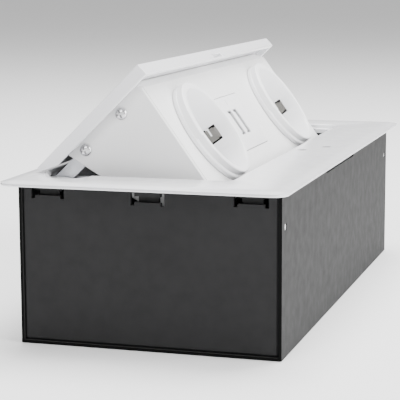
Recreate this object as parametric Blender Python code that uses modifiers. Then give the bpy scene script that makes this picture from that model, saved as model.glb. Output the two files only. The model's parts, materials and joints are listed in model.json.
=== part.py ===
"""Recessed desk socket box, shown open: a steel case hangs from a flange plate, and a lid unit with two
earthed sockets and a double USB charger tilts up out of it on two hinge pins.

Run it with blender --background --python part.py, or from Blender's text editor.

World axes: +X across the case towards the free edge of the lid, +Y along it, +Z up. The origin is under the
middle of the case. Dimensions are in millimetres, and the helpers turn them into Blender's metres.
"""

import math

import bmesh
import bpy
from mathutils import Matrix, Vector

MM = 0.001
GAP = 0.3

# Case
CASE_WIDTH = 112.0
CASE_LENGTH = 240.0
CASE_HEIGHT = 68.0
WALL = 1.2
PANEL_THICKNESS = 2.0
PANEL_RETURN = 12.0
SIDE_SLOT_LOW_Y = -36.5
SIDE_SLOT_HIGH_Y = 25.5
SIDE_SLOT_HEIGHT = 3.6
SIDE_SCREW_Y = 114.0
SIDE_SCREW_Z = 53.5

# Flange plate and its opening
PLATE_WIDTH = 121.0
PLATE_LENGTH = 266.0
PLATE_THICKNESS = 2.0
PLATE_CORNER = 6.5
PLATE_TOP = CASE_HEIGHT + PLATE_THICKNESS
OPENING_LEFT = -51.0
OPENING_RIGHT = 32.0
OPENING_HALF = 107.0
OPENING_CORNER = 6.0
LEDGE_TOP = PLATE_TOP - 2.3
LEDGE_UNDER = LEDGE_TOP - 2.0
LEDGE_WALL = 1.5
LEDGE_LEFT = -34.5
LEDGE_RIGHT = 28.0
LEDGE_END = 102.8
LEDGE_CORNER = 20.0
RIM_GROOVE_LEFT = -45.4
RIM_GROOVE_Y = (103.6, 106.4)
ARM_SLOT_Y = (95.2, 99.4)
SCOOP_X = -38.0
SCOOP_Y = 105.0
SCOOP_RADII = (10.5, 14.5, 3.0)
HOOK_X = (-43.3, 0.0, 43.3)
HOOK_SLOT_HALF = 7.0
HOOK_SLOT_HEIGHT = 2.4
HOOK_LEG = 1.6
HOOK_TAB_HALF = 4.5
HOOK_TAB_THICKNESS = 1.2
HOOK_TAB_DROP = 10.0
PLATE_SCREWS = ((37.0, -3.0), (45.5, 11.5))

# Tilting unit. Its parts are laid out as they lie when the lid is shut, measured from the hinge axis.
OPEN_ANGLE = 44.4
PIVOT_X = -51.5
PIVOT_Z = 60.2
LID_TOP = PLATE_TOP - PIVOT_Z
LID_LEFT = 6.8
LID_RIGHT = 70.2
LID_HALF = 106.0
LID_SHEET = 2.0
LID_RIM = 5.5
LID_SLOT = (-6.0, 8.0)
BLOCK_HALF = 101.0
BLOCK_TOP = LID_TOP - LID_SHEET - GAP
BLOCK_BOTTOM = -50.5
FACE_TOP = (63.26, 2.71)
FACE_LEAN = 8.5
REAR_TOP_X = 18.6
REAR_KNEE = (19.4, 4.1)
REAR_BOTTOM_X = 33.7
SKIN = 1.6
LIP_LEAN = 2.8
CHEEK_THICKNESS = 1.6
CHEEK_SCREWS = ((26.6, 1.2), (49.0, 1.2))
SCREW_HEAD = 2.5

# Hinge
PIN_RADIUS = 1.5
HUB_RADIUS = 3.0
ARM_Y = (96.6, 98.4)
ARM_END = 54.0
BRACKET_Y = (92.8, 94.8)
BRACKET_FOOT = 38.0
STOP_PAD_HEIGHT = 2.9
SPRING_TURNS = 4
SPRING_RADIUS = 2.3
SPRING_WIRE = 0.35

# Sockets, in the face's own frame: x down the slope, y along the block, z out of the face
SOCKET_DOWN = 28.6
SOCKET_Y = 62.0
WELL_RADIUS = 19.7
WELL_DEPTH = 17.5
MOUTH_RADIUS = 20.8
COLLAR_RADIUS = 23.0
COLLAR_HEIGHT = 5.4
FLANGE_RADIUS = 24.3
FLANGE_HEIGHT = 2.2
CUP_RADIUS = 21.3
CUP_FLOOR = 2.5
PIN_SPACING = 19.0
PIN_HOLE = 2.6
CLIP_WIDTH = 6.0

# USB charger, in the face's own frame
USB_Y = -11.0
USB_DOWN = 28.5
USB_SIZE = (28.0, 44.5)
PORT_PITCH = 8.9
PORT_SIZE = (13.2, 5.6)
SHELL_SIZE = (12.6, 5.0)
SHELL_DEPTH = 12.0

# Cable inlet in the far end panel
GLAND_X = -20.0
GLAND_Z = 22.0
GLAND_BORE = 4.0
GLAND_THREAD = 7.7
GLAND_SHOULDER = 10.0
GLAND_MOUTH = 6.3
GLAND_NUT_RADIUS = 11.5
GLAND_NUT_HEIGHT = 4.0

# Mains terminals and earth stud on the floor of the case
TERMINAL_X = (32.0, 48.0)
TERMINAL_Y = (62.0, 92.0)
TERMINAL_HEIGHT = 13.0
TERMINAL_PITCH = 10.0
TERMINAL_POCKET = (5.0, 4.0)
EARTH_STUD_Y = 42.0


# ---------------------------------------------------------------- helpers

def clear_scene():
    for old in list(bpy.data.objects):
        bpy.data.objects.remove(old, do_unlink=True)


def new_collection(name):
    collection = bpy.data.collections.new(name)
    bpy.context.scene.collection.children.link(collection)
    return collection


def new_material(name, color, roughness, metallic=0.0):
    material = bpy.data.materials.new(name)
    material.use_nodes = True
    shader = material.node_tree.nodes["Principled BSDF"]
    shader.inputs["Base Color"].default_value = (*color, 1.0)
    shader.inputs["Roughness"].default_value = roughness
    shader.inputs["Metallic"].default_value = metallic
    return material


def new_frame(name, location, tilt, parent=None):
    """An empty that carries parts. tilt turns it about Y, in degrees."""
    frame = bpy.data.objects.new(name, None)
    PARTS.objects.link(frame)
    frame.parent = parent
    frame.location = Vector(location) * MM
    frame.rotation_euler = (0.0, math.radians(tilt), 0.0)
    return frame


def place(name, mesh, material, frame, location=(0.0, 0.0, 0.0)):
    """Links a mesh as a part, or as a hidden cutter where it has no material."""
    obj = bpy.data.objects.new(name, mesh)
    if material is None:
        CUTTERS.objects.link(obj)
        obj.hide_render = True
        obj.display_type = "WIRE"
    else:
        PARTS.objects.link(obj)
        mesh.materials.append(material)
    obj.parent = frame
    obj.location = Vector(location) * MM
    return obj


def mesh_from(bm, name):
    bmesh.ops.recalc_face_normals(bm, faces=bm.faces)
    mesh = bpy.data.meshes.new(name)
    bm.to_mesh(mesh)
    bm.free()
    return mesh


def box(name, low, high, material, frame=None):
    """A box between two corners, with its origin at its centre."""
    size = Vector(high) - Vector(low)
    bm = bmesh.new()
    bmesh.ops.create_cube(bm, size=1.0)
    bmesh.ops.scale(bm, vec=size * MM, verts=bm.verts)
    centre = (Vector(high) + Vector(low)) / 2
    return place(name, mesh_from(bm, name), material, frame, centre)


def boxes(name, corners, material, frame=None):
    """Separate boxes in one object."""
    bm = bmesh.new()
    for low, high in corners:
        size = Vector(high) - Vector(low)
        centre = (Vector(high) + Vector(low)) / 2
        where = Matrix.Translation(centre * MM) @ Matrix.Diagonal((*(size * MM), 1.0))
        bmesh.ops.create_cube(bm, size=1.0, matrix=where)
    return place(name, mesh_from(bm, name), material, frame)


def turned_to(axis):
    """The rotation that lays a +Z primitive along an axis."""
    return Vector((0.0, 0.0, 1.0)).rotation_difference(Vector(axis)).to_matrix().to_4x4()


def rods(name, radius, depth, centres, axis, material, frame=None, segments=24, end_radius=None):
    """Equal round bars in one object, each centred on its point."""
    last = radius if end_radius is None else end_radius
    bm = bmesh.new()
    for centre in centres:
        where = Matrix.Translation(Vector(centre) * MM) @ turned_to(axis)
        bmesh.ops.create_cone(
            bm, cap_ends=True, segments=segments, radius1=radius * MM, radius2=last * MM,
            depth=depth * MM, matrix=where,
        )
    return place(name, mesh_from(bm, name), material, frame)


def turned(name, profile, material, frame, location=(0.0, 0.0, 0.0), steps=40):
    """A turned piece: the profile (radius, height) runs over the top and down its outer side."""
    mesh = bpy.data.meshes.new(name)
    points = [(radius * MM, 0.0, height * MM) for radius, height in profile]
    edges = [(i, i + 1) for i in range(len(points) - 1)]
    if profile[0][0] > 0.0:
        edges.append((len(points) - 1, 0))
    mesh.from_pydata(points, edges, [])
    obj = place(name, mesh, material, frame, location)
    screw = obj.modifiers.new("Turn", "SCREW")
    screw.steps = steps
    screw.render_steps = steps
    screw.use_merge_vertices = True
    screw.merge_threshold = 0.00001
    screw.use_normal_calculate = False
    return obj


def mesh_of_curve(curve_object, name, material, frame):
    """Turns a curve object into a welded mesh part and removes the curve."""
    bpy.context.view_layer.update()
    graph = bpy.context.evaluated_depsgraph_get()
    mesh = bpy.data.meshes.new_from_object(curve_object.evaluated_get(graph))
    bm = bmesh.new()
    bm.from_mesh(mesh)
    bmesh.ops.remove_doubles(bm, verts=bm.verts, dist=0.000001)
    bmesh.ops.recalc_face_normals(bm, faces=bm.faces)
    bm.to_mesh(mesh)
    bm.free()
    mesh.materials.clear()
    place_matrix = curve_object.matrix_basis.copy()
    bpy.data.objects.remove(curve_object, do_unlink=True)
    obj = place(name, mesh, material, frame)
    obj.matrix_basis = place_matrix
    return obj


def plate(name, outline, low, high, material, frame=None, along="Y"):
    """A flat outline extruded along Y (outline in X, Z) or along Z (outline in X, Y)."""
    curve = bpy.data.curves.new(name + "_outline", "CURVE")
    curve.dimensions = "2D"
    curve.fill_mode = "BOTH"
    curve.extrude = (high - low) / 2 * MM
    spline = curve.splines.new("POLY")
    spline.points.add(len(outline) - 1)
    for point, (u, v) in zip(spline.points, outline):
        point.co = (u * MM, v * MM, 0.0, 1.0)
    spline.use_cyclic_u = True
    guide = bpy.data.objects.new(name + "_outline", curve)
    PARTS.objects.link(guide)
    middle = (low + high) / 2 * MM
    if along == "Y":
        guide.rotation_euler.x = math.radians(90)
        guide.location.y = middle
    else:
        guide.location.z = middle
    return mesh_of_curve(guide, name, material, frame)


def wire(name, points, radius, material, frame=None):
    """A round wire through points."""
    curve = bpy.data.curves.new(name + "_path", "CURVE")
    curve.dimensions = "3D"
    curve.bevel_depth = radius * MM
    curve.bevel_resolution = 2
    curve.use_fill_caps = True
    spline = curve.splines.new("POLY")
    spline.points.add(len(points) - 1)
    for point, where in zip(spline.points, points):
        point.co = (*(Vector(where) * MM), 1.0)
    guide = bpy.data.objects.new(name + "_path", curve)
    PARTS.objects.link(guide)
    return mesh_of_curve(guide, name, material, frame)


def arc(centre, radius, start, end, steps):
    """Points on an arc, angles in degrees."""
    turns = [math.radians(start + (end - start) * i / steps) for i in range(steps + 1)]
    return [(centre[0] + radius * math.cos(a), centre[1] + radius * math.sin(a)) for a in turns]


def rounded_rectangle(left, right, low, high, radius, steps=6):
    points = arc((right - radius, high - radius), radius, 0, 90, steps)
    points += arc((left + radius, high - radius), radius, 90, 180, steps)
    points += arc((left + radius, low + radius), radius, 180, 270, steps)
    points += arc((right - radius, low + radius), radius, 270, 360, steps)
    return points


def boolean(target, other, operation):
    modifier = target.modifiers.new(operation.title(), "BOOLEAN")
    modifier.operation = operation
    modifier.solver = "EXACT"
    modifier.object = other


def cut(target, *cutters):
    for cutter in cutters:
        boolean(target, cutter, "DIFFERENCE")


def join(target, *others):
    for other in others:
        boolean(target, other, "UNION")


def soften(target, width, segments=1, angle=40.0):
    bevel = target.modifiers.new("Soft edges", "BEVEL")
    bevel.width = width * MM
    bevel.segments = segments
    bevel.limit_method = "ANGLE"
    bevel.angle_limit = math.radians(angle)


def smooth(obj, angle=35.0):
    obj.data.shade_smooth()
    obj.data.set_sharp_from_angle(angle=math.radians(angle))


def both_ends():
    """The two ends of the box, as a name and the sign of Y."""
    return (("near", -1.0), ("far", 1.0))


def y_span(side, inner, outer):
    """The low and high Y of a span that lies from inner to outer on one side."""
    return min(side * inner, side * outer), max(side * inner, side * outer)


# ---------------------------------------------------------------- case

def build_case_trough():
    half = CASE_WIDTH / 2
    end = CASE_LENGTH / 2
    top = CASE_HEIGHT - GAP
    trough = box("case_trough", (-half, -end, 0.0), (half, end, top), STEEL_DARK)
    hollow = box("case_hollow", (-half + WALL, -end - 1, WALL), (half - WALL, end + 1, top + 1), None)
    side_slot = box(
        "side_slots", (-half - 1, SIDE_SLOT_LOW_Y, top - SIDE_SLOT_HEIGHT),
        (half + 1, SIDE_SLOT_HIGH_Y, top + 1), None
    )
    holes = rods("side_screw_holes", 1.7, CASE_WIDTH + 10, [
        (0.0, -SIDE_SCREW_Y, SIDE_SCREW_Z), (0.0, SIDE_SCREW_Y, SIDE_SCREW_Z)
    ], (1, 0, 0), None, segments=16)
    cut(trough, hollow, side_slot, holes)


def build_end_panel(side_name, side):
    """A tray-shaped end panel with three H-shaped snap slots along its top."""
    half = CASE_WIDTH / 2 - WALL - GAP
    outer = CASE_LENGTH / 2 - 0.6
    low, high = y_span(side, outer - PANEL_RETURN, outer)
    top = CASE_HEIGHT - 2 * GAP
    panel = box(f"end_panel_{side_name}", (-half, low, WALL + GAP), (half, high, top), PANEL_BLACK)
    soften(panel, 0.8, angle=60.0)
    low, high = y_span(side, outer - PANEL_RETURN - 1, outer - PANEL_THICKNESS)
    inside = 1.4
    hollow = box(
        f"panel_hollow_{side_name}", (-half + inside, low, WALL + GAP + inside),
        (half - inside, high, top + 1), None
    )
    low, high = y_span(side, outer - PANEL_THICKNESS - 0.5, outer + 1)
    cut(panel, hollow)
    leg_out = HOOK_SLOT_HALF + 0.2
    leg_in = leg_out - HOOK_LEG
    for x in HOOK_X:
        slot_low = top - 4.6 if x else top - 5.8
        bar = box(
            f"slot_bar_{side_name}", (x - HOOK_SLOT_HALF, low, slot_low),
            (x + HOOK_SLOT_HALF, high, slot_low + HOOK_SLOT_HEIGHT), None,
        )
        legs = boxes(f"slot_legs_{side_name}", [
            ((x - leg_out, low, slot_low - 1.4), (x - leg_in, high, slot_low + 3.8)),
            ((x + leg_in, low, slot_low - 1.4), (x + leg_out, high, slot_low + 3.8)),
        ], None)
        cut(panel, bar, legs)
    tapped = rods(f"panel_screw_holes_{side_name}", 1.7, CASE_WIDTH, [
        (0.0, side * SIDE_SCREW_Y, SIDE_SCREW_Z)
    ], (1, 0, 0), None, segments=16)
    cut(panel, tapped)
    return panel


def build_end_panel_screws(side_name, side):
    length = 3.6
    for where, across in (("left", -1), ("right", 1)):
        x = across * (CASE_WIDTH / 2 - 0.2 - length / 2)
        rods(f"end_panel_screw_{side_name}_{where}", 1.4, length, [(x, side * SIDE_SCREW_Y, SIDE_SCREW_Z)],
             (1, 0, 0), SCREW_STEEL, segments=16)


def build_top_plate():
    """The flange plate, pressed down round its opening into a ledge that the shut lid lies in."""
    half_x = PLATE_WIDTH / 2
    half_y = PLATE_LENGTH / 2
    outline = rounded_rectangle(-half_x, half_x, -half_y, half_y, PLATE_CORNER, steps=8)
    flange = plate("top_plate", outline, CASE_HEIGHT, PLATE_TOP, PLATE_WHITE, along="Z")
    soften(flange, 0.7, segments=2)
    hook_in = CASE_LENGTH / 2 - 0.6 - PANEL_THICKNESS - GAP
    tray = box(
        "ledge_tray", (OPENING_LEFT - LEDGE_WALL, -OPENING_HALF - LEDGE_WALL, LEDGE_UNDER),
        (OPENING_RIGHT + LEDGE_WALL, OPENING_HALF + LEDGE_WALL, CASE_HEIGHT + 1), None,
    )
    join(flange, tray)
    for side_name, side in both_ends():
        low, high = y_span(side, OPENING_HALF + GAP, hook_in)
        boss = box(
            f"scoop_boss_{side_name}", (SCOOP_X - 13, low, LEDGE_UNDER + 0.2),
            (SCOOP_X + 13, high, CASE_HEIGHT + 1), None
        )
        join(flange, boss)
        for x in HOOK_X:
            low, high = y_span(side, hook_in - HOOK_TAB_THICKNESS, hook_in)
            drop = CASE_HEIGHT - HOOK_TAB_DROP
            tab = box(
                f"hook_tab_{side_name}", (x - HOOK_TAB_HALF, low, drop),
                (x + HOOK_TAB_HALF, high, CASE_HEIGHT + 1), None,
            )
            join(flange, tab)
    recess = plate(
        "plate_recess",
        rounded_rectangle(OPENING_LEFT, OPENING_RIGHT, -OPENING_HALF, OPENING_HALF, OPENING_CORNER),
        LEDGE_TOP, PLATE_TOP + 5, None, along="Z",
    )
    low, high = LEDGE_UNDER - 3, LEDGE_TOP + 1
    well = box("ledge_well", (LEDGE_LEFT, -LEDGE_END, low), (LEDGE_RIGHT, LEDGE_END, high), None)
    cut(flange, recess, well)
    for side_name, side in both_ends():
        start, end = y_span(side, LEDGE_END - 1, OPENING_HALF)
        cut(flange, box(f"well_end_{side_name}", (LEDGE_LEFT, start, low), (LEDGE_CORNER, end, high), None))
        start, end = y_span(side, *RIM_GROOVE_Y)
        groove = box(
            f"rim_groove_{side_name}", (RIM_GROOVE_LEFT, start, low), (LEDGE_LEFT + 1, end, high), None
        )
        start, end = y_span(side, *ARM_SLOT_Y)
        slot = box(
            f"arm_slot_{side_name}", (OPENING_LEFT - 5, start, low),
            (LEDGE_LEFT + 1, end, CASE_HEIGHT - 0.05), None,
        )
        cut(flange, groove, slot)
    for side_name, side in both_ends():
        bm = bmesh.new()
        bmesh.ops.create_uvsphere(bm, u_segments=28, v_segments=14, radius=1.0)
        bmesh.ops.scale(bm, vec=Vector(SCOOP_RADII) * MM, verts=bm.verts)
        scoop = place(
            f"scoop_{side_name}", mesh_from(bm, "scoop"), None, None, (SCOOP_X, side * SCOOP_Y, PLATE_TOP)
        )
        cut(flange, scoop)
    holes = rods(
        "plate_screw_holes", 1.1, 8.0, [(x, y, CASE_HEIGHT) for x, y in PLATE_SCREWS], (0, 0, 1), None,
        segments=16,
    )
    sinks = rods("plate_screw_sinks", 2.2, 2.0, [(x, y, PLATE_TOP) for x, y in PLATE_SCREWS], (0, 0, 1), None,
                 segments=20)
    cut(flange, holes, sinks)
    return flange


def build_plate_fixings():
    for number, (x, y) in enumerate(PLATE_SCREWS, 1):
        head = rods(
            f"plate_screw_{number}", 1.9, 0.6, [(x, y, PLATE_TOP - 0.4)], (0, 0, 1), SCREW_STEEL, segments=20
        )
        slot = box(
            f"plate_screw_slot_{number}", (x - 1.3, y - 0.25, PLATE_TOP - 0.4),
            (x + 1.3, y + 0.25, PLATE_TOP + 1), None,
        )
        cut(head, slot)
    inner = CASE_WIDTH / 2 - WALL - GAP
    top = CASE_HEIGHT - GAP
    left = OPENING_RIGHT + LEDGE_WALL + 1
    bracket = box("side_bracket", (left, -9.0, top - 3.5), (inner, 17.0, top), STEEL_BRIGHT)
    holes = rods(
        "side_bracket_holes", 1.1, 12.0, [(x, y, top) for x, y in PLATE_SCREWS], (0, 0, 1), None, segments=16
    )
    relief = box("side_bracket_relief", (left - 5, -20.0, top - 10), (inner - 1.5, 30.0, top - 1.5), None)
    cut(bracket, holes, relief)


def build_gland():
    """The cable inlet: a body with a domed cap outside, a nut inside, and a soft seal in the bore."""
    panel_face = CASE_LENGTH / 2 - 0.6
    frame = bpy.data.objects.new("gland_frame", None)
    PARTS.objects.link(frame)
    frame.location = Vector((GLAND_X, panel_face, GLAND_Z)) * MM
    frame.rotation_euler.x = math.radians(-90)
    inside = -PANEL_THICKNESS
    turned("gland_body", [
        (GLAND_MOUTH, 11.6), (GLAND_SHOULDER - 1.4, 11.6), (GLAND_SHOULDER, 9.5), (GLAND_SHOULDER, GAP),
        (GLAND_THREAD, GAP), (GLAND_THREAD, inside - 7.0), (GLAND_MOUTH, inside - 7.0),
    ], GLAND_BLACK, frame, steps=24)
    nut = rods(
        "gland_nut", GLAND_NUT_RADIUS, GLAND_NUT_HEIGHT, [(0.0, 0.0, inside - GAP - GLAND_NUT_HEIGHT / 2)],
        (0, 0, 1), GLAND_BLACK, frame, segments=6,
    )
    cut(
        nut,
        rods("gland_nut_bore", GLAND_THREAD + GAP, 12.0, [(0.0, 0.0, inside - 2.0)], (0, 0, 1), None, frame),
    )
    turned("gland_seal", [
        (GLAND_BORE, 10.4), (GLAND_MOUTH - GAP, 10.4), (GLAND_MOUTH - GAP, inside - 4.0),
        (GLAND_BORE, inside - 4.0),
    ], RUBBER, frame, steps=24)
    return rods("gland_panel_hole", GLAND_THREAD + GAP, 12.0, [(0.0, 0.0, -1.0)], (0, 0, 1), None, frame)


def build_terminals():
    """Three mains terminals in a block, and an earth stud beside it."""
    floor = WALL + GAP
    middle_x = sum(TERMINAL_X) / 2
    pocket_width, pocket_height = TERMINAL_POCKET
    pocket_low = floor + 3
    block = box(
        "terminal_block", (TERMINAL_X[0], TERMINAL_Y[0], floor),
        (TERMINAL_X[1], TERMINAL_Y[1], floor + TERMINAL_HEIGHT), TERMINAL_WHITE,
    )
    pockets = []
    wells = []
    for number in range(3):
        y = TERMINAL_Y[0] + TERMINAL_PITCH * (number + 0.5)
        pockets.append((
            (TERMINAL_X[0] - 1, y - pocket_width / 2, pocket_low),
            (TERMINAL_X[1] + 1, y + pocket_width / 2, pocket_low + pocket_height),
        ))
        wells.append((middle_x, y, floor + TERMINAL_HEIGHT - 1))
        centre = (middle_x, y, floor + TERMINAL_HEIGHT - 1.7)
        rods(f"terminal_screw_{number + 1}", 1.7, 3.0, [centre], (0, 0, 1), BRASS, segments=16)
    cut(block, boxes("terminal_pockets", pockets, None))
    cut(block, rods("terminal_wells", 2.1, 5.0, wells, (0, 0, 1), None, segments=16))
    rods("earth_stud", 2.0, 9.0, [(middle_x, EARTH_STUD_Y, floor + 4.5)], (0, 0, 1), BRASS, segments=16)


# ---------------------------------------------------------------- hinge

def build_hinge(side_name, side, tilt_frame):
    low, high = y_span(side, *BRACKET_Y)
    left = -(CASE_WIDTH / 2 - WALL - GAP)
    ear = arc((PIVOT_X, PIVOT_Z), HUB_RADIUS, 180, 0, 10)
    outline = ear + [(PIVOT_X + HUB_RADIUS + 2, BRACKET_FOOT), (left, BRACKET_FOOT)]
    bracket = plate(f"hinge_bracket_{side_name}", outline, low, high, STEEL_BRIGHT)
    foot_low, foot_high = y_span(side, BRACKET_Y[0] - 9, BRACKET_Y[0] + 0.5)
    foot = box(
        f"bracket_foot_{side_name}", (left, foot_low, BRACKET_FOOT), (left + 1.5, foot_high, PIVOT_Z - 4),
        None,
    )
    bore = rods(
        f"bracket_bore_{side_name}", PIN_RADIUS + GAP, 12.0, [(PIVOT_X, side * BRACKET_Y[0], PIVOT_Z)],
        (0, 1, 0), None,
    )
    join(bracket, foot)
    cut(bracket, bore)

    low, high = y_span(side, BRACKET_Y[0] - 1.5, 104.0)
    rods(f"hinge_pin_{side_name}", PIN_RADIUS, high - low, [(PIVOT_X, (low + high) / 2, PIVOT_Z)], (0, 1, 0),
         SCREW_STEEL)

    low, high = y_span(side, *ARM_Y)
    outline = arc((0.0, 0.0), HUB_RADIUS, 90, 270, 12) + arc((ARM_END - 3, 0.0), 3.0, -90, 90, 8)
    arm = plate(f"pivot_arm_{side_name}", outline, low, high, STEEL_BRIGHT, tilt_frame)
    middle = (low + high) / 2
    cut(
        arm,
        rods(
            f"arm_bore_{side_name}", PIN_RADIUS + GAP, 8.0, [(0.0, middle, 0.0)], (0, 1, 0), None, tilt_frame
        ),
    )

    start = side * (ARM_Y[1] + 0.5 + SPRING_WIRE)
    coil = []
    per_turn = 12
    for i in range(SPRING_TURNS * per_turn + 1):
        turn = 2 * math.pi * i / per_turn
        rise = side * i / per_turn * (2 * SPRING_WIRE + 0.1)
        coil.append((SPRING_RADIUS * math.cos(turn), start + rise, SPRING_RADIUS * math.sin(turn)))
    leg_length = 11.0
    lead_in = (SPRING_RADIUS, start, -leg_length * 0.4)
    lead_out = (SPRING_RADIUS, coil[-1][1], leg_length * 0.3)
    wire(f"torsion_spring_{side_name}", [lead_in, *coil, lead_out], SPRING_WIRE, SCREW_STEEL, tilt_frame)


def build_stop_pad(side_name, side):
    """A rubber pad under the plate that the open arm comes to rest against."""
    left = -(CASE_WIDTH / 2 - WALL - GAP)
    low, high = y_span(side, ARM_Y[0] - 1, ARM_Y[1] + 0.4)
    box(
        f"stop_pad_{side_name}", (left, low, CASE_HEIGHT - STOP_PAD_HEIGHT),
        (left + 3.2, high, CASE_HEIGHT - GAP), RUBBER,
    )


# ---------------------------------------------------------------- lid unit

def face_point(down, out=0.0):
    """A point of the block's section, from its place down the face and out of it."""
    lean = math.radians(FACE_LEAN)
    x = FACE_TOP[0] - down * math.sin(lean) + out * math.cos(lean)
    z = FACE_TOP[1] - down * math.cos(lean) - out * math.sin(lean)
    return x, z


def face_length():
    return (FACE_TOP[1] - BLOCK_BOTTOM) / math.cos(math.radians(FACE_LEAN))


def build_lid_cover(frame):
    bottom = LID_TOP - LID_RIM
    lid = box("lid_cover", (LID_LEFT, -LID_HALF, bottom), (LID_RIGHT, LID_HALF, LID_TOP), LID_WHITE, frame)
    soften(lid, 0.5, segments=2, angle=60.0)
    inside = box(
        "lid_inside", (LID_LEFT - 2, -LID_HALF + LID_SHEET, bottom - 2),
        (LID_RIGHT - LID_SHEET, LID_HALF - LID_SHEET, LID_TOP - LID_SHEET), None, frame,
    )
    taper = plate("lid_taper", [
        (LID_LEFT - 2, LID_TOP - LID_SHEET), (LID_LEFT, LID_TOP - LID_SHEET), (LID_LEFT + 8, bottom - 0.5),
        (LID_LEFT - 2, bottom - 0.5),
    ], -LID_HALF - 3, LID_HALF + 3, None, frame)
    slot = box(
        "lid_slot", (LID_RIGHT - 4, LID_SLOT[0], LID_TOP - 4.8), (LID_RIGHT + 2, LID_SLOT[1], LID_TOP - 3.0),
        None, frame
    )
    cut(lid, inside, taper, slot)


def build_face_panel(frame, face):
    """The white front, folded inwards at its top under the lid."""
    end = BLOCK_HALF - CHEEK_THICKNESS - GAP
    foot = face_length()
    lip = (FACE_TOP[0] - LIP_LEAN, BLOCK_TOP)
    inner_lip = (lip[0] - SKIN, lip[1])
    panel = plate("face_panel", [
        inner_lip, lip, face_point(0.0), face_point(foot), face_point(foot, -SKIN), face_point(1.5, -SKIN),
    ], -end, end, BLOCK_WHITE, frame)
    socket_holes = rods("face_socket_holes", CUP_RADIUS + GAP, 14.0, [
        (SOCKET_DOWN, -SOCKET_Y, 0.0), (SOCKET_DOWN, SOCKET_Y, 0.0)
    ], (0, 0, 1), None, face, segments=40)
    half_s = USB_SIZE[0] / 2 + GAP
    half_y = USB_SIZE[1] / 2 + GAP
    usb_hole = box(
        "face_usb_hole", (USB_DOWN - half_s, USB_Y - half_y, -8.0), (USB_DOWN + half_s, USB_Y + half_y, 8.0),
        None, face
    )
    cut(panel, socket_holes, usb_hole)


def build_rear_shell(frame):
    """Top, back and bottom of the block in one folded shell."""
    end = BLOCK_HALF - CHEEK_THICKNESS - GAP
    front_top = FACE_TOP[0] - LIP_LEAN - SKIN - GAP
    front_bottom = face_point(face_length(), -SKIN - GAP)[0]
    inner_bottom = BLOCK_BOTTOM + SKIN
    inner_top = BLOCK_TOP - SKIN
    shell = plate("rear_shell", [
        (front_top, BLOCK_TOP), (REAR_TOP_X, BLOCK_TOP), REAR_KNEE, (REAR_BOTTOM_X, BLOCK_BOTTOM),
        (front_bottom, BLOCK_BOTTOM), (front_bottom, inner_bottom),
        (REAR_BOTTOM_X + SKIN * 0.8, inner_bottom),
        (REAR_KNEE[0] + SKIN, REAR_KNEE[1]), (REAR_TOP_X + SKIN * 1.4, inner_top), (front_top, inner_top),
    ], -end, end, BLOCK_WHITE, frame)
    for side_name, side in both_ends():
        low, high = y_span(side, ARM_Y[0] - 0.7, BLOCK_HALF)
        notch = box(f"arm_notch_{side_name}", (12.0, low, -3.6), (26.0, high, 3.6), None, frame)
        cut(shell, notch)


def build_cheek(side_name, side, frame):
    low, high = y_span(side, BLOCK_HALF - CHEEK_THICKNESS, BLOCK_HALF)
    cheek = plate(f"cheek_{side_name}", [
        (REAR_TOP_X, BLOCK_TOP), (FACE_TOP[0] - LIP_LEAN, BLOCK_TOP), face_point(0.0),
        face_point(face_length()),
        (REAR_BOTTOM_X, BLOCK_BOTTOM), REAR_KNEE,
    ], low, high, BLOCK_WHITE, frame)
    soften(cheek, 0.4)
    middle = side * (BLOCK_HALF + GAP + 0.7)
    low, high = y_span(side, BLOCK_HALF + GAP + 0.7, BLOCK_HALF + GAP + 3)
    for where, (x, z) in zip(("rear", "front"), CHEEK_SCREWS):
        name = f"cheek_screw_{side_name}_{where}"
        head = rods(name, SCREW_HEAD, 1.4, [(x, middle, z)], (0, side, 0), SCREW_STEEL, frame,
                    end_radius=SCREW_HEAD - 0.7)
        for which, across, up in (("level", 1.5, 0.3), ("upright", 0.3, 1.5)):
            cut(
                head,
                box(f"{name}_{which}", (x - across, low, z - up), (x + across, high, z + up), None, frame),
            )


# ---------------------------------------------------------------- sockets

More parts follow.
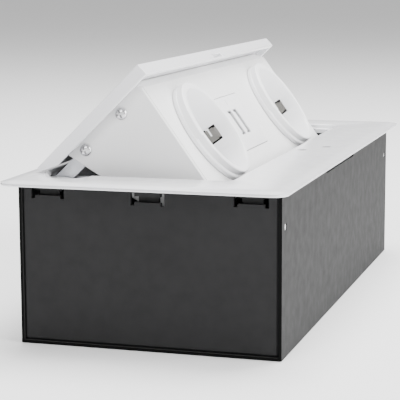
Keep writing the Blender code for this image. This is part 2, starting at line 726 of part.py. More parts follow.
def build_socket(side_name, y, face):
    here = (SOCKET_DOWN, y, 0.0)
    floor = COLLAR_HEIGHT - WELL_DEPTH
    back = floor - CUP_FLOOR
    cup = turned(f"socket_{side_name}", [
        (0.0, floor), (WELL_RADIUS, floor), (WELL_RADIUS, COLLAR_HEIGHT - 1.4), (MOUTH_RADIUS, COLLAR_HEIGHT),
        (COLLAR_RADIUS - 0.5, COLLAR_HEIGHT), (COLLAR_RADIUS, COLLAR_HEIGHT - 0.5),
        (COLLAR_RADIUS, FLANGE_HEIGHT),
        (FLANGE_RADIUS, FLANGE_HEIGHT), (FLANGE_RADIUS, GAP), (CUP_RADIUS, GAP), (CUP_RADIUS, back),
        (0.0, back),
    ], SOCKET_WHITE, face, here)
    lug_in = COLLAR_RADIUS - 1.2
    lug_out = COLLAR_RADIUS + 1.0
    lugs = boxes(f"collar_lugs_{side_name}", [
        (
            (SOCKET_DOWN - 4, y + side * lug_in, FLANGE_HEIGHT - 0.5),
            (SOCKET_DOWN + 4, y + side * lug_out, COLLAR_HEIGHT),
        )
        if side > 0 else
        ((SOCKET_DOWN - 4, y - lug_out, FLANGE_HEIGHT - 0.5), (SOCKET_DOWN + 4, y - lug_in, COLLAR_HEIGHT))
        for side in (-1, 1)
    ], None, face)
    windows = box(
        f"clip_windows_{side_name}", (SOCKET_DOWN - CLIP_WIDTH / 2 - 0.8, y - 30, back - 1),
        (SOCKET_DOWN + CLIP_WIDTH / 2 + 0.8, y + 30, -1.2), None, face,
    )
    keep = rods(
        f"clip_windows_core_{side_name}", WELL_RADIUS - 1.2, 30.0, [(SOCKET_DOWN, y, floor)], (0, 0, 1), None,
        face, segments=32,
    )
    cut(windows, keep)
    pins = rods(f"pin_holes_{side_name}", PIN_HOLE, 12.0, [
        (SOCKET_DOWN - PIN_SPACING / 2, y, back), (SOCKET_DOWN + PIN_SPACING / 2, y, back)
    ], (0, 0, 1), None, face, segments=20)
    join(cup, lugs)
    cut(cup, windows, pins)

    strap_top = -3.0
    sheet = 0.8
    low = back - 2.2
    reach = WELL_RADIUS + 0.9
    section = [
        (-reach, low), (reach, low), (reach, -8.0), (reach - 1.6, -6.0), (reach, strap_top),
        (reach - sheet, strap_top), (reach - 1.6 - sheet, -6.0), (reach - sheet, -8.0),
        (reach - sheet, low + sheet), (-reach + sheet, low + sheet), (-reach + sheet, -8.0),
        (-reach + 1.6 + sheet, -6.0), (-reach + sheet, strap_top), (-reach, strap_top), (-reach + 1.6, -6.0),
        (-reach, -8.0),
    ]
    strap = plate(f"earth_strap_{side_name}", section, -CLIP_WIDTH / 2, CLIP_WIDTH / 2, NICKEL, face)
    # The outline's plane, X and Z, is turned to lie across the block, in Y and Z.
    strap.rotation_euler = (math.radians(90), 0.0, math.radians(90))
    strap.location = Vector(here) * MM

    sleeve_low = back - 7.8
    sleeve_high = back - 0.4
    middle = (sleeve_low + sleeve_high) / 2
    for where, offset in (("upper", -PIN_SPACING / 2), ("lower", PIN_SPACING / 2)):
        centre = [(SOCKET_DOWN + offset, y, middle)]
        sleeve = rods(
            f"contact_sleeve_{side_name}_{where}", 3.3, sleeve_high - sleeve_low, centre, (0, 0, 1), BRASS,
            face, segments=20,
        )
        cut(
            sleeve,
            rods(f"sleeve_bore_{side_name}_{where}", 2.5, 20.0, centre, (0, 0, 1), None, face, segments=20),
        )

    cap_low = sleeve_low - GAP - 1.2
    cap_high = low - GAP
    cap = box(
        f"socket_back_{side_name}", (SOCKET_DOWN - 14, y - 8, cap_low), (SOCKET_DOWN + 14, y + 8, cap_high),
        INNER_BLACK, face,
    )
    cut(cap, box(
        f"socket_back_hollow_{side_name}", (SOCKET_DOWN - 13, y - 7, cap_low + 1.2),
        (SOCKET_DOWN + 13, y + 7, cap_high + 1),
        None, face,
    ))


# ---------------------------------------------------------------- USB charger

def build_usb(face):
    half_s = USB_SIZE[0] / 2
    half_y = USB_SIZE[1] / 2
    ports = (USB_Y - PORT_PITCH / 2, USB_Y + PORT_PITCH / 2)
    bezel = box(
        "usb_bezel", (USB_DOWN - half_s, USB_Y - half_y, -3.0), (USB_DOWN + half_s, USB_Y + half_y, 0.25),
        USB_WHITE, face,
    )
    for y in ports:
        hole = box("port_hole", (USB_DOWN - PORT_SIZE[0] / 2, y - PORT_SIZE[1] / 2, -6.0),
                   (USB_DOWN + PORT_SIZE[0] / 2, y + PORT_SIZE[1] / 2, 3.0), None, face)
        cut(bezel, hole)

    for port_name, y in zip(("near", "far"), ports):
        shell = box(
            f"usb_shell_{port_name}", (USB_DOWN - SHELL_SIZE[0] / 2, y - SHELL_SIZE[1] / 2, -SHELL_DEPTH),
            (USB_DOWN + SHELL_SIZE[0] / 2, y + SHELL_SIZE[1] / 2, -0.1), SCREW_STEEL, face,
        )
        sheet = 0.35
        cut(shell, box(
            f"usb_shell_inside_{port_name}",
            (USB_DOWN - SHELL_SIZE[0] / 2 + sheet, y - SHELL_SIZE[1] / 2 + sheet, -SHELL_DEPTH - 1),
            (USB_DOWN + SHELL_SIZE[0] / 2 - sheet, y + SHELL_SIZE[1] / 2 - sheet, 1.0), None, face,
        ))
        box(
            f"usb_tongue_{port_name}", (USB_DOWN - 5.5, y - 0.2, -SHELL_DEPTH),
            (USB_DOWN + 5.5, y + 1.8, -1.0), USB_WHITE, face,
        )

    board_top = -SHELL_DEPTH - GAP
    box("usb_board", (USB_DOWN - half_s + 2, USB_Y - half_y + 2, board_top - 1.6),
        (USB_DOWN + half_s - 2, USB_Y + half_y - 2, board_top), BOARD_GREEN, face)
    case = box("usb_case", (USB_DOWN - half_s + 0.4, USB_Y - half_y + 0.4, -18.0),
               (USB_DOWN + half_s - 0.4, USB_Y + half_y - 0.4, -3.0 - GAP), INNER_BLACK, face)
    cut(case, box("usb_case_inside", (USB_DOWN - half_s + 1.6, USB_Y - half_y + 1.6, -16.8),
                  (USB_DOWN + half_s - 1.6, USB_Y + half_y - 1.6, 0.0), None, face))


# ---------------------------------------------------------------- assembly

clear_scene()
PARTS = new_collection("desk_socket_box")
CUTTERS = new_collection("cutters")

STEEL_DARK = new_material("case_steel", (0.045, 0.045, 0.048), 0.55, 0.4)
PANEL_BLACK = new_material("panel_black", (0.035, 0.035, 0.037), 0.6)
PLATE_WHITE = new_material("plate_white", (0.68, 0.68, 0.71), 0.3)
LID_WHITE = new_material("lid_white", (0.78, 0.78, 0.79), 0.35)
BLOCK_WHITE = new_material("block_white", (0.74, 0.74, 0.74), 0.45)
SOCKET_WHITE = new_material("socket_white", (0.76, 0.76, 0.77), 0.4)
USB_WHITE = new_material("usb_white", (0.76, 0.76, 0.76), 0.4)
STEEL_BRIGHT = new_material("zinc_steel", (0.5, 0.5, 0.5), 0.4, 1.0)
SCREW_STEEL = new_material("screw_steel", (0.6, 0.6, 0.6), 0.25, 1.0)
NICKEL = new_material("nickel_spring", (0.62, 0.58, 0.5), 0.3, 1.0)
BRASS = new_material("brass", (0.72, 0.52, 0.2), 0.3, 1.0)
RUBBER = new_material("rubber", (0.02, 0.02, 0.02), 0.85)
GLAND_BLACK = new_material("gland_black", (0.02, 0.02, 0.022), 0.5)
INNER_BLACK = new_material("inner_black", (0.03, 0.03, 0.03), 0.6)
TERMINAL_WHITE = new_material("terminal_white", (0.7, 0.68, 0.6), 0.5)
BOARD_GREEN = new_material("board_green", (0.02, 0.16, 0.06), 0.5)

LID_FRAME = new_frame("lid_pivot", (PIVOT_X, 0.0, PIVOT_Z), -OPEN_ANGLE)
FACE_FRAME = new_frame("face_frame", (FACE_TOP[0], 0.0, FACE_TOP[1]), 90.0 + FACE_LEAN, LID_FRAME)

build_case_trough()
PANELS = {name: build_end_panel(name, side) for name, side in both_ends()}
build_top_plate()
build_plate_fixings()
cut(PANELS["far"], build_gland())
build_terminals()
for end_name, end_side in both_ends():
    build_end_panel_screws(end_name, end_side)
    build_stop_pad(end_name, end_side)
    build_hinge(end_name, end_side, LID_FRAME)
    build_cheek(end_name, end_side, LID_FRAME)
    build_socket(end_name, end_side * SOCKET_Y, FACE_FRAME)
build_lid_cover(LID_FRAME)
build_face_panel(LID_FRAME, FACE_FRAME)
build_rear_shell(LID_FRAME)
build_usb(FACE_FRAME)

for part in PARTS.objects:
    if part.type == "MESH":
        smooth(part)
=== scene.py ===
"""The looks of the recessed desk socket box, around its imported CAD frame.

Positions are in metres in the part's frame: +X across the case towards the lid's free edge, +Y along it,
+Z up.
Pieces on the lid unit are made in the face's own frame, and stand where the lid is at rest, open.
"""

import json
import math

import bmesh
import bpy
from mathutils import Matrix, Vector


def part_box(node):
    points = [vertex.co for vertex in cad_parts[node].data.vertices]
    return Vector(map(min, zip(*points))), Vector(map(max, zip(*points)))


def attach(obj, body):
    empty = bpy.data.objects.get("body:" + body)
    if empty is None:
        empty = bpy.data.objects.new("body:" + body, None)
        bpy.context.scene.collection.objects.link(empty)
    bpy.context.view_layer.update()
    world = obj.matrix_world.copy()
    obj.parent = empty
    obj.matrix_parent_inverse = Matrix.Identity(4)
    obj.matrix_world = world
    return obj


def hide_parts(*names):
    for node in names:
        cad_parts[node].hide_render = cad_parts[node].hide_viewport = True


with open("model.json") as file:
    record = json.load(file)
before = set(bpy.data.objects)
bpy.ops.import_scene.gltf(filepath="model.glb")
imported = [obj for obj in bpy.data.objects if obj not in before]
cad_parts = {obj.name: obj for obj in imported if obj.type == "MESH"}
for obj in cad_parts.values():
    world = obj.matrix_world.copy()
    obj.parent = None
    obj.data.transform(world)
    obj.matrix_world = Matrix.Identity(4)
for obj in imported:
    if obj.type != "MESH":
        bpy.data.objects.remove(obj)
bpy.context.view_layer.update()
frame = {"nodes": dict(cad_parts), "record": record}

NODES = frame["nodes"]

GAP = 0.0003

# Where the lid unit is
OPEN_ANGLE = math.radians(frame["record"]["behaviour"]["joints"][0]["range_deg"][1])
PIVOT = Vector(frame["record"]["behaviour"]["joints"][0]["pos_m"])
FACE_LEAN = math.radians(8.5)
FACE_TOP = Vector((0.06326, 0.0, 0.00271))
LID_FRAME = Matrix.Translation(PIVOT) @ Matrix.Rotation(-OPEN_ANGLE, 4, "Y")
FACE_FRAME = LID_FRAME @ Matrix.Translation(FACE_TOP) @ Matrix.Rotation(math.radians(90) + FACE_LEAN, 4, "Y")

# The flange plate
PLATE_LOW, PLATE_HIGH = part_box("top_plate")
PLATE_TOP = PLATE_HIGH.z
PLATE_UNDER = 0.068
PLATE_CORNER = 0.0065
RIM_WIDTH = 0.0055
RIM_DROP = 0.0008
OPENING_LOW = Vector((-0.051, -0.107))
OPENING_HIGH = Vector((0.032, 0.107))
OPENING_CORNER = 0.006
LEDGE_TOP = PLATE_TOP - 0.0023
LEDGE_UNDER = LEDGE_TOP - 0.002
LEDGE_WALL = 0.0015
LEDGE_LEFT = -0.0345
LEDGE_RIGHT = 0.028
LEDGE_END = 0.1028
LEDGE_CORNER = 0.020
RIM_GROOVE_LEFT = -0.0454
RIM_GROOVE_Y = (0.1036, 0.1064)
ARM_SLOT_Y = (0.0952, 0.0994)
ARM_SLOT_TOP = 0.06795
SCOOP_X = -0.038
SCOOP_Y = 0.105
SCOOP_RADII = Vector((0.0105, 0.0145, 0.003))
SCOOP_BOSS_HALF = 0.013
WELL_CORNER = 0.003
WALL_FILLET = 0.0008
SHOULDER = 0.0009
RIM_EDGE = 0.0007
SNAP_TAB_X = (("left", -0.0433), ("middle", 0.0), ("right", 0.0433))
SNAP_TAB_HALF = 0.0045
SNAP_TAB_FACE = 0.1171
SNAP_TAB_SHEET = 0.0012
PLATE_SCREW_BORE = 0.0011
PLATE_SCREW_SINK = 0.0024

# The lid
LID_LEFT = 0.0068
LID_RIGHT = 0.0702
LID_TOP = 0.0098
LID_HALF = 0.106
LID_SHEET = 0.002
LID_RIM = 0.0055
LID_TAPER = 0.008
LID_SLOT_Y = (-0.006, 0.008)
LID_SLOT_DOWN = 0.003
LID_SLOT_HEIGHT = 0.0018

# The sockets
SOCKET_DOWN = 0.0286
SOCKET_Y = 0.062
WELL_RADIUS = 0.0197
WELL_FLOOR = -0.0121
MOUTH_RADIUS = 0.0208
COLLAR_RADIUS = 0.023
COLLAR_TOP = 0.0054
FLANGE_RADIUS = 0.0243
FLANGE_TOP = 0.0022
CUP_RADIUS = 0.0213
CUP_BACK = -0.0146
PIN_OFFSET = 0.0095
PIN_BORE = 0.0026
PIN_COUNTERSINK = 0.0036
STEP_RADIUS = COLLAR_RADIUS + 0.0009
WINDOW_HALF = 0.0038
WINDOW_TOP = -0.0012
CLIP_HALF = 0.0026
CLIP_SHEET = 0.0006
CLIP_TOP = -0.0016
CLIP_LENGTH = 0.0102
CLIP_BOW = 0.0016

# The USB charger
USB_Y = -0.011
USB_DOWN = 0.0285
USB_SIZE = Vector((0.028, 0.0445))
PORT_PITCH = 0.0089
PORT_HALF = Vector((0.0066, 0.0028))
TONGUE_HALF = 0.0056
TONGUE_SPAN = (-0.0020, 0.0008)

# The cheek screws
SCREW_HEAD = 0.0025
SCREW_DOME_ANGLE = math.radians(70)
SCREW_TURN = 0.35
CROSS_HALF = 0.0018
CROSS_BLADE = 0.00042

# The studio. The backdrop shows brighter than it lights.
WORLD_LIGHT = 0.7
BACKDROP_LIGHT = 9.0
CAMERA_PLACE = (0.1904, -0.6748, 0.1577)
CAMERA_TURN = 16.85
CAMERA_DOWN = 9.20
CAMERA_ROLL = -0.25
CAMERA_LENS = 132.8
CAMERA_SENSOR = 36.0


# ---------------------------------------------------------------- materials

def shader_material(name, color, roughness, metallic=0.0, specular=0.5, coat=0.0):
    material = bpy.data.materials.new(name)
    material.use_nodes = True
    shader = material.node_tree.nodes["Principled BSDF"]
    shader.inputs["Base Color"].default_value = (*color, 1.0)
    shader.inputs["Roughness"].default_value = roughness
    shader.inputs["Metallic"].default_value = metallic
    shader.inputs["Specular IOR Level"].default_value = specular
    shader.inputs["Coat Weight"].default_value = coat
    shader.inputs["Coat Roughness"].default_value = 0.15
    return material, material.node_tree, shader


def noise(tree, scale, detail=3.0, stretch=(1.0, 1.0, 1.0)):
    where = tree.nodes.new("ShaderNodeTexCoord")
    mapping = tree.nodes.new("ShaderNodeMapping")
    mapping.inputs["Scale"].default_value = stretch
    texture = tree.nodes.new("ShaderNodeTexNoise")
    texture.inputs["Scale"].default_value = scale
    texture.inputs["Detail"].default_value = detail
    tree.links.new(where.outputs["Object"], mapping.inputs["Vector"])
    tree.links.new(mapping.outputs["Vector"], texture.inputs["Vector"])
    return texture.outputs["Fac"]


def remap(tree, value, low, high):
    node = tree.nodes.new("ShaderNodeMapRange")
    node.inputs["From Min"].default_value = 0.3
    node.inputs["From Max"].default_value = 0.7
    node.inputs["To Min"].default_value = low
    node.inputs["To Max"].default_value = high
    tree.links.new(value, node.inputs["Value"])
    return node.outputs["Result"]


def mix_colors(tree, factor, first, second):
    node = tree.nodes.new("ShaderNodeMix")
    node.data_type = "RGBA"
    tree.links.new(factor, node.inputs["Factor"])
    for socket, value in ((node.inputs["A"], first), (node.inputs["B"], second)):
        if isinstance(value, bpy.types.NodeSocket):
            tree.links.new(value, socket)
        else:
            socket.default_value = (*value, 1.0)
    return node.outputs["Result"]


def bump(tree, height, distance, strength=1.0, below=None):
    node = tree.nodes.new("ShaderNodeBump")
    node.inputs["Distance"].default_value = distance
    node.inputs["Strength"].default_value = strength
    tree.links.new(height, node.inputs["Height"])
    if below is not None:
        tree.links.new(below, node.inputs["Normal"])
    return node.outputs["Normal"]


def scaled(color, factor):
    return tuple(min(1.0, channel * factor) for channel in color)


def grained(name, color, roughness, grain, depth, spread=0.05, metallic=0.0, specular=0.5, coat=0.0,
            stretch=(1.0, 1.0, 1.0)):
    """A surface with a fine grain in its height, a slow drift in its colour and a patchy roughness."""
    material, tree, shader = shader_material(name, color, roughness, metallic, specular, coat)
    drift = remap(tree, noise(tree, 35.0, 4.0), 0.0, 1.0)
    tint = mix_colors(tree, drift, scaled(color, 1.0 - spread), scaled(color, 1.0 + spread))
    tree.links.new(tint, shader.inputs["Base Color"])
    patches = remap(tree, noise(tree, 220.0, 3.0, stretch), roughness * 0.85, roughness * 1.15)
    tree.links.new(patches, shader.inputs["Roughness"])
    wide = bump(tree, noise(tree, grain * 0.3, 2.0, stretch), depth * 1.5, 0.5)
    fine = bump(tree, noise(tree, grain, 3.0, stretch), depth, 0.6, wide)
    tree.links.new(fine, shader.inputs["Normal"])
    return material


def coat_lit_sides_shaded_ends(name, color, roughness, grain, depth):
    """The trough's coat. Its colour comes in lighter than the end panels' black, as painted light on its lit
    sides; its cut ends, which face along Y, are painted near-black, for the sheet's edge and painted shade in
    the gap behind it.
    """
    material, tree, shader = shader_material(name, color, roughness, specular=0.04)
    drift = remap(tree, noise(tree, 60.0, 4.0), 0.0, 1.0)
    lit_coat_color = mix_colors(tree, drift, scaled(color, 0.975), scaled(color, 1.025))
    geometry = tree.nodes.new("ShaderNodeNewGeometry")
    parts = tree.nodes.new("ShaderNodeSeparateXYZ")
    tree.links.new(geometry.outputs["True Normal"], parts.inputs["Vector"])
    painted_shade_ends = tree.nodes.new("ShaderNodeMath")
    painted_shade_ends.operation = "ABSOLUTE"
    tree.links.new(parts.outputs["Y"], painted_shade_ends.inputs[0])
    # painted shade: faces along Y go near-black, for the sheet's cut edge and the shaded gap behind it
    tint = mix_colors(tree, painted_shade_ends.outputs["Value"], lit_coat_color, (0.004, 0.004, 0.004))
    tree.links.new(tint, shader.inputs["Base Color"])
    patches = remap(tree, noise(tree, 180.0), roughness * 0.9, roughness * 1.1)
    tree.links.new(patches, shader.inputs["Roughness"])
    tree.links.new(bump(tree, noise(tree, grain, 3.0), depth, 0.6), shader.inputs["Normal"])
    return material


def brushed(name, color, roughness, stretch):
    return grained(name, color, roughness, 900.0, 0.00002, spread=0.08, metallic=1.0, stretch=stretch)


def board_material(name):
    """Solder mask over faint copper tracks."""
    material, tree, shader = shader_material(name, (0.02, 0.16, 0.06), 0.4)
    where = tree.nodes.new("ShaderNodeTexCoord")
    tracks = tree.nodes.new("ShaderNodeTexBrick")
    tracks.inputs["Scale"].default_value = 160.0
    tracks.inputs["Mortar Size"].default_value = 0.03
    tracks.inputs["Color1"].default_value = (0.015, 0.15, 0.05, 1.0)
    tracks.inputs["Color2"].default_value = (0.02, 0.18, 0.06, 1.0)
    tracks.inputs["Mortar"].default_value = (0.06, 0.3, 0.12, 1.0)
    tree.links.new(where.outputs["Object"], tracks.inputs["Vector"])
    tree.links.new(tracks.outputs["Color"], shader.inputs["Base Color"])
    tree.links.new(bump(tree, tracks.outputs["Fac"], 0.00005, 0.5), shader.inputs["Normal"])
    return material


MATERIALS = {
    # the case's colour is lighter than the end panels' black, a lit copy of the same coat: painted light on
    # its sides
    "case_steel": coat_lit_sides_shaded_ends("case_coat_lit_sides_shaded_ends", (0.036, 0.036, 0.036), 0.6, 1400.0, 0.00002),
    "panel_black": grained("panel_grain", (0.0145, 0.0145, 0.015), 0.6, 1500.0, 0.00003, spread=0.05,
                           specular=0.18),
    "white_enamel": grained("white_enamel_coat", (0.80, 0.80, 0.82), 0.2, 900.0, 0.00001, spread=0.012,
                            coat=0.5),
    "block_enamel": grained("block_enamel_coat", (0.80, 0.80, 0.80), 0.42, 1300.0, 0.00002, spread=0.015),
    "white_plastic": grained("white_moulding", (0.83, 0.83, 0.84), 0.33, 1600.0, 0.00001, spread=0.012),
    "zinc_steel": brushed("zinc_plate", (0.52, 0.53, 0.55), 0.38, (1.0, 8.0, 1.0)),
    "bright_screw": brushed("bright_steel", (0.66, 0.66, 0.67), 0.25, (1.0, 1.0, 3.0)),
    # painted shade: the clips' nickel is made a dark grey, for the shade inside the clip windows
    "nickel": brushed("nickel_spring_sheet_shade_darkened", (0.34, 0.33, 0.31), 0.35, (1.0, 1.0, 6.0)),
    "brass": brushed("turned_brass", (0.75, 0.55, 0.22), 0.28, (1.0, 1.0, 6.0)),
    "rubber": grained("soft_rubber", (0.015, 0.015, 0.015), 0.85, 1100.0, 0.00005, spread=0.15, specular=0.2),
    "black_plastic": grained("black_moulding", (0.015, 0.015, 0.016), 0.5, 1300.0, 0.00003, spread=0.1,
                             specular=0.2),
    "cream_plastic": grained("cream_moulding", (0.7, 0.67, 0.58), 0.5, 1200.0, 0.00003, spread=0.03),
    "board": board_material("circuit_board"),
}


def dress_cad_nodes():
    for entry in frame["record"]["subparts"]:
        mesh = NODES[entry["node"]].data
        mesh.materials.clear()
        mesh.materials.append(MATERIALS[entry["material_slot"]])


# ---------------------------------------------------------------- mesh helpers

def link(name, mesh, matrix=None):
    obj = bpy.data.objects.new(name, mesh)
    bpy.context.scene.collection.objects.link(obj)
    if matrix is not None:
        obj.matrix_world = matrix
    return obj


def finish_mesh(bm, name):
    bmesh.ops.recalc_face_normals(bm, faces=bm.faces)
    mesh = bpy.data.meshes.new(name)
    bm.to_mesh(mesh)
    bm.free()
    return mesh


def box_mesh(name, low, high):
    low, high = Vector(low), Vector(high)
    bm = bmesh.new()
    where = Matrix.Translation((low + high) / 2) @ Matrix.Diagonal((*(high - low), 1.0))
    bmesh.ops.create_cube(bm, size=1.0, matrix=where)
    return finish_mesh(bm, name)


def lofted(name, rings):
    """A closed skin over rings of the same number of points, with a cap at each end."""
    bm = bmesh.new()
    loops = [[bm.verts.new(point) for point in ring] for ring in rings]
    pairs = list(zip(loops, loops[1:]))
    for first, second in pairs:
        count = len(first)
        for i in range(count):
            bm.faces.new((first[i], first[(i + 1) % count], second[(i + 1) % count], second[i]))
    bm.faces.new(loops[0])
    bm.faces.new(loops[-1])
    return finish_mesh(bm, name)


def rounded_ring(low, high, radius, z, steps=14, inset=0.0):
    """Points round a rectangle with round corners, at one height."""
    left, bottom = low[0] + inset, low[1] + inset
    right, top = high[0] - inset, high[1] - inset
    corner = max(radius - inset, 0.0004)
    centres = (
        (right - corner, top - corner, 0), (left + corner, top - corner, 90),
        (left + corner, bottom + corner, 180), (right - corner, bottom + corner, 270),
    )
    ring = []
    for x, y, start in centres:
        for i in range(steps + 1):
            angle = math.radians(start + 90 * i / steps)
            ring.append((x + corner * math.cos(angle), y + corner * math.sin(angle), z))
    return ring


def lathe(name, profile, steps=128, start=0.0, sweep=2 * math.pi):
    """A skin turned about Z through a profile of (radius, height)."""
    full = abs(sweep - 2 * math.pi) < 1e-6
    count = steps if full else steps + 1
    bm = bmesh.new()
    columns = []
    for i in range(count):
        angle = start + sweep * i / steps
        columns.append([bm.verts.new((r * math.cos(angle), r * math.sin(angle), z)) for r, z in profile])
    pairs = list(zip(columns, columns[1:]))
    if full:
        pairs.append((columns[-1], columns[0]))
    size = len(profile)
    for first, second in pairs:
        for j in range(size):
            k = (j + 1) % size
            bm.faces.new((first[j], second[j], second[k], first[k]))
    if not full:
        bm.faces.new(columns[0])
        bm.faces.new(columns[-1])
    bmesh.ops.remove_doubles(bm, verts=bm.verts, dist=1e-7)
    bmesh.ops.dissolve_degenerate(bm, edges=bm.edges, dist=1e-7)
    return finish_mesh(bm, name)


def cutter(name, mesh, matrix=None):
    obj = link(name, mesh, matrix)
    obj.hide_render = True
    obj.hide_viewport = True
    return obj


def carve(target, cutters, operation="DIFFERENCE"):
    """Applies Booleans at once, so that no cutter stays behind."""
    for other in cutters:
        modifier = target.modifiers.new("Carve", "BOOLEAN")
        modifier.operation = operation
        modifier.solver = "EXACT"
        modifier.object = other
    apply_modifiers(target)
    for other in cutters:
        mesh = other.data
        bpy.data.objects.remove(other, do_unlink=True)
        bpy.data.meshes.remove(mesh)


def apply_modifiers(obj):
    bpy.context.view_layer.update()
    graph = bpy.context.evaluated_depsgraph_get()
    mesh = bpy.data.meshes.new_from_object(obj.evaluated_get(graph))
    obj.modifiers.clear()
    old = obj.data
    obj.data = mesh
    bpy.data.meshes.remove(old)


def round_edges(obj, width, segments=3, angle=35.0):
    modifier = obj.modifiers.new("Round", "BEVEL")
    modifier.width = width
    modifier.segments = segments
    modifier.limit_method = "ANGLE"
    modifier.angle_limit = math.radians(angle)
    modifier.harden_normals = False


def smooth(obj, angle=32.0):
    obj.data.shade_smooth()
    obj.data.set_sharp_from_angle(angle=math.radians(angle))


def settle(obj, body, slot, *replaced):
    """Says what a piece rides on, its finish, and the CAD nodes that it stands for."""
    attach(obj, body)
    if not obj.data.materials:
        obj.data.materials.append(MATERIALS[slot])
    if replaced:
        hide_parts(*replaced)


# ---------------------------------------------------------------- flange plate

def ellipsoid(name, radii, where):
    bm = bmesh.new()
    bmesh.ops.create_uvsphere(bm, u_segments=72, v_segments=36, radius=1.0)
    bmesh.ops.scale(bm, vec=radii, verts=bm.verts)
    return link(name, finish_mesh(bm, name), Matrix.Translation(where))


def flange_rings():
    """Rings from the ledge's floor, over the plate and its falling rim, to the underside of the tray."""
    low, high = PLATE_LOW, PLATE_HIGH
    rings = []

    def round_opening(z, inset):
        rings.append(rounded_ring(OPENING_LOW, OPENING_HIGH, OPENING_CORNER, z, inset=inset))

    def round_plate(z, inset):
        rings.append(rounded_ring(low, high, PLATE_CORNER, z, inset=inset))

    for i in range(4):
        turn = math.radians(90 * i / 3)
        round_opening(LEDGE_TOP + WALL_FILLET * (1 - math.cos(turn)), WALL_FILLET * (1 - math.sin(turn)))
    for i in range(5):
        turn = math.radians(90 * i / 4)
        round_opening(PLATE_TOP - SHOULDER * (1 - math.sin(turn)), -SHOULDER * (1 - math.cos(turn)))
    edge_top = PLATE_TOP - RIM_DROP
    for i in range(8, 0, -1):
        along = i / 8
        round_plate(edge_top + RIM_DROP * math.sin(along * math.pi / 2), RIM_EDGE + along * RIM_WIDTH)
    for i in range(4, -1, -1):
        turn = math.radians(90 * i / 4)
        inset = RIM_EDGE * (1 - math.cos(math.radians(90) - turn)) if i else 0.0
        round_plate(edge_top - RIM_EDGE * (1 - math.sin(turn)), inset)
    round_plate(PLATE_UNDER, 0.0003)
    round_opening(PLATE_UNDER, -LEDGE_WALL)
    round_opening(LEDGE_UNDER, -LEDGE_WALL)
    return rings


def block_cut(name, low, high):
    return cutter(name, box_mesh(name, low, high))


def make_flange():
    """The plate, pressed down into a ledge round its opening, with finger scoops at both ends."""
    flange = link("flange", lofted("flange", flange_rings()))
    added = []
    for side in (-1, 1):
        near, far = sorted((side * (OPENING_HIGH.y + GAP), side * SNAP_TAB_FACE))
        added.append(block_cut("boss", (SCOOP_X - SCOOP_BOSS_HALF, near, LEDGE_UNDER + 0.0002),
                               (SCOOP_X + SCOOP_BOSS_HALF, far, PLATE_UNDER + 0.001)))
    carve(flange, added, "UNION")

    low, high = LEDGE_UNDER - 0.003, LEDGE_TOP + 0.0012
    groove_right = LEDGE_LEFT + 0.001
    well_low, well_high = (LEDGE_LEFT, -LEDGE_END), (LEDGE_RIGHT, LEDGE_END)
    well = [rounded_ring(well_low, well_high, WELL_CORNER, z, 6) for z in (low, high)]
    cuts = [cutter("well", lofted("well", well))]
    for side in (-1, 1):
        near, far = sorted((side * (LEDGE_END - 0.004), side * (OPENING_HIGH.y - SHOULDER)))
        cuts.append(block_cut("well_end", (LEDGE_LEFT, near, low), (LEDGE_CORNER, far, high)))
        near, far = sorted(side * y for y in RIM_GROOVE_Y)
        cuts.append(block_cut("rim_groove", (RIM_GROOVE_LEFT, near, low), (groove_right, far, high)))
        near, far = sorted(side * y for y in ARM_SLOT_Y)
        slot_low, slot_high = (OPENING_LOW.x - 0.005, near, low), (groove_right, far, ARM_SLOT_TOP)
        cuts.append(block_cut("arm_slot", slot_low, slot_high))
        scoop = ellipsoid("scoop", SCOOP_RADII, (SCOOP_X, side * SCOOP_Y, PLATE_TOP))
        scoop.hide_render = True
        cuts.append(scoop)
    for node in ("plate_screw_1", "plate_screw_2"):
        near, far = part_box(node)
        middle = Matrix.Translation((near + far) / 2)
        bore = [(0.0, 0.004), (PLATE_SCREW_BORE, 0.004), (PLATE_SCREW_BORE, -0.004), (0.0, -0.004)]
        sink = [
            (0.0, 0.002), (PLATE_SCREW_SINK, 0.002), (PLATE_SCREW_SINK, -0.0001),
            (PLATE_SCREW_SINK - 0.0004, -0.0006), (0.0, -0.0006),
        ]
        cuts.append(cutter("hole", lathe("hole", bore, 32), middle))
        cuts.append(cutter("sink", lathe("sink", sink, 40), middle))
    carve(flange, cuts)
    smooth(flange, 38)
    settle(flange, "base", "white_enamel", "top_plate")


def make_painted_shade_snap_tabs():
    """The tabs that show behind the slots of the end panels, black as painted shade: they belong to the white
    plate, and the slots show dark.
    """
    for side, end in ((-1, "near"), (1, "far")):
        near, far = sorted((side * (SNAP_TAB_FACE - SNAP_TAB_SHEET), side * SNAP_TAB_FACE))
        for where, x in SNAP_TAB_X:
            name = f"snap_tab_{end}_{where}"
            low = (x - SNAP_TAB_HALF, near, PLATE_LOW.z)
            high = (x + SNAP_TAB_HALF, far, PLATE_UNDER - 0.0001)
            tab = link(name, box_mesh(name, low, high))
            round_edges(tab, 0.0003, 2)
            smooth(tab)
            # painted shade: the tabs take the panels' black in place of the plate's white
            settle(tab, "base", "panel_black")


# ---------------------------------------------------------------- lid unit

